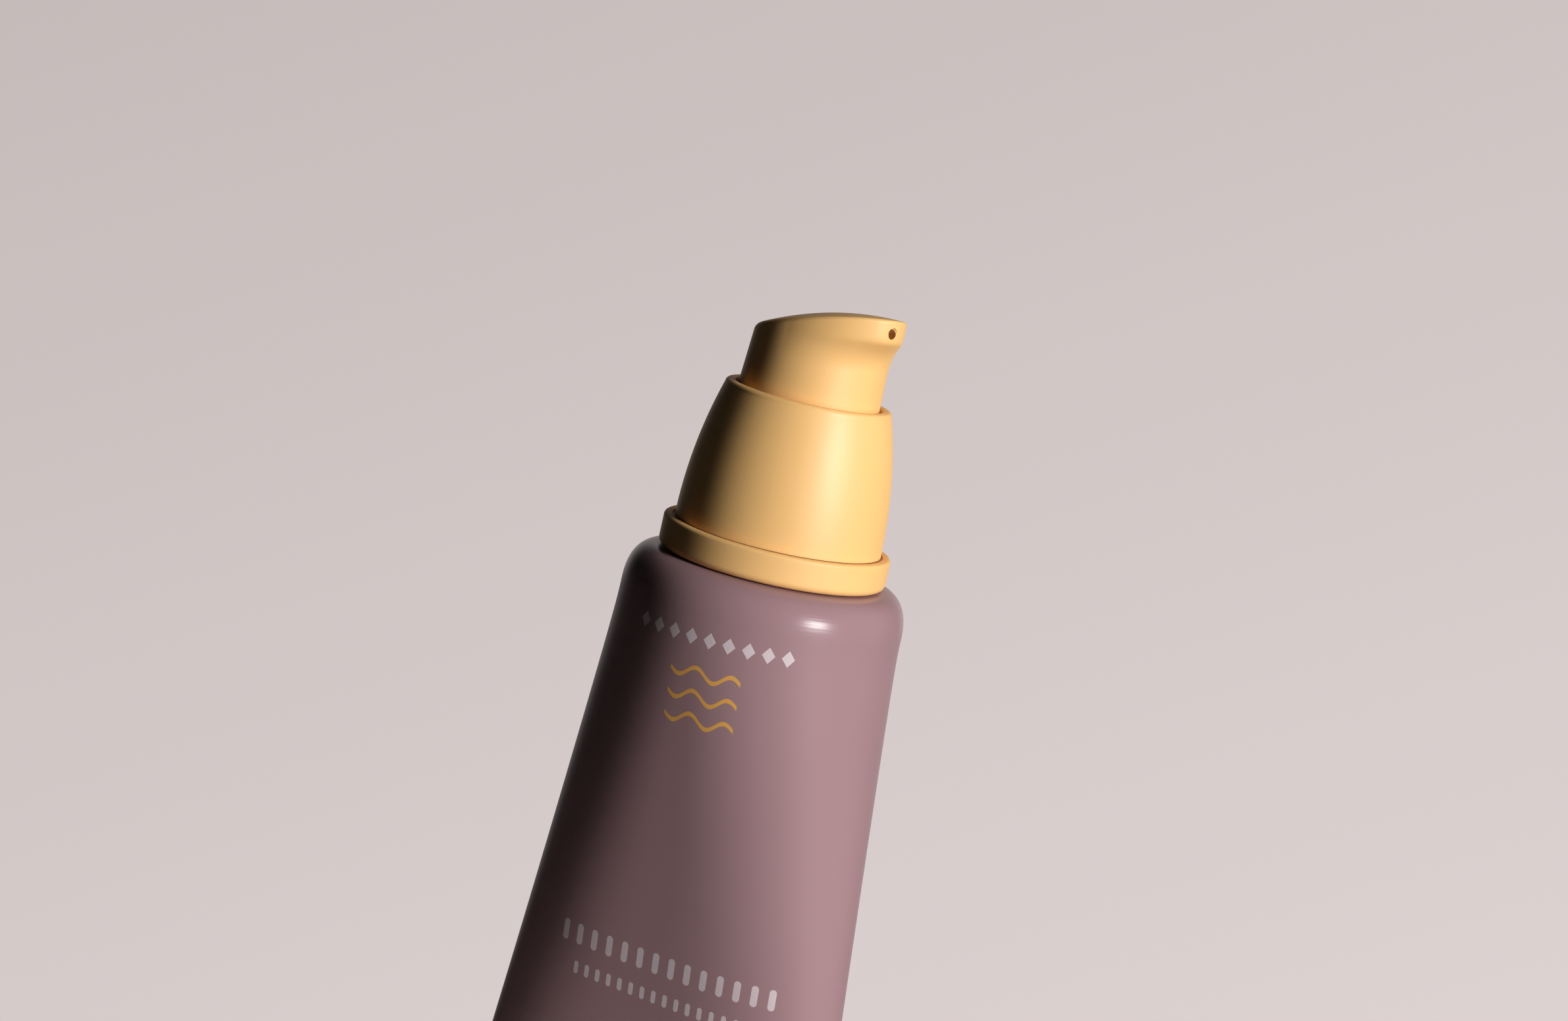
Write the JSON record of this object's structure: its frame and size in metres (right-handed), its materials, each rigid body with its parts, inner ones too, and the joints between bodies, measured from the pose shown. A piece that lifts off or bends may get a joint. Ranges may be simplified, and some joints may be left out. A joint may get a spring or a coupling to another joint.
{
  "type": "pump tube",
  "caption": "Soft squeeze tube with a flat sealed end, a rounded shoulder and a small airless type pump with a barrel collar and a low spout.",
  "frame": {"origin": "middle of the sealed end's edge, on the tube's axis", "axes": "+Z along the tube's axis towards the pump, +X along the width of the sealed end, -Y towards the printed front"},
  "size_m": [0.0628, 0.04, 0.1603],
  "materials": {
    "tube_plastic": "satin",
    "pump_plastic": "satin",
    "natural_plastic": "satin",
    "seal": "matt",
    "spring_steel": "bright drawn"
  },
  "bodies": {
    "tube": {"tube_sleeve": "tube_plastic", "tube_shoulder": "tube_plastic"},
    "pump": {"pump_housing": "natural_plastic", "housing_cap": "natural_plastic", "stem_seal": "seal", "neck_gasket": "seal", "intake_cage": "natural_plastic", "return_spring": "spring_steel"},
    "closure": {"screw_closure": "natural_plastic", "base_ring": "pump_plastic", "collar_sleeve": "pump_plastic"},
    "stem": {"stem": "natural_plastic", "stem_seat": "natural_plastic"},
    "head": {"actuator_head": "pump_plastic"},
    "piston": {"piston": "natural_plastic"},
    "ball": {"inlet_ball": "spring_steel"}
  },
  "joints": [
    {"name": "pump_lift", "type": "slide", "parent": "tube", "child": "pump", "axis": [0, 0, 1], "range_m": [0, 0.00375]},
    {"name": "closure_turn", "type": "hinge", "parent": "pump", "child": "closure", "pos_m": [0, 0, 0.1222], "axis": [0, 0, 1], "range_deg": [0, 450]},
    {"name": "pump_stroke", "type": "slide", "parent": "pump", "child": "stem", "axis": [0, 0, -1], "range_m": [0, 0.0042], "stiffness_N_per_m": 1500, "springref_m": -0.006, "deforming": ["return_spring"]},
    {"name": "head_swivel", "type": "hinge", "parent": "stem", "child": "head", "pos_m": [0, 0, 0.1492], "axis": [0, 0, 1], "continuous": true},
    {"name": "piston_travel", "type": "slide", "parent": "pump", "child": "piston", "axis": [0, 0, -1], "range_m": [0, 0.0037]},
    {"name": "ball_lift", "type": "slide", "parent": "pump", "child": "ball", "axis": [0, 0, 1], "range_m": [0, 0.001]}
  ],
  "couplings": [
    {"joint": "pump_lift", "follows": "closure_turn", "m_per_rad": 0.00047746},
    {"joint": "piston_travel", "follows": "pump_stroke", "ratio": 0.88}
  ]
}
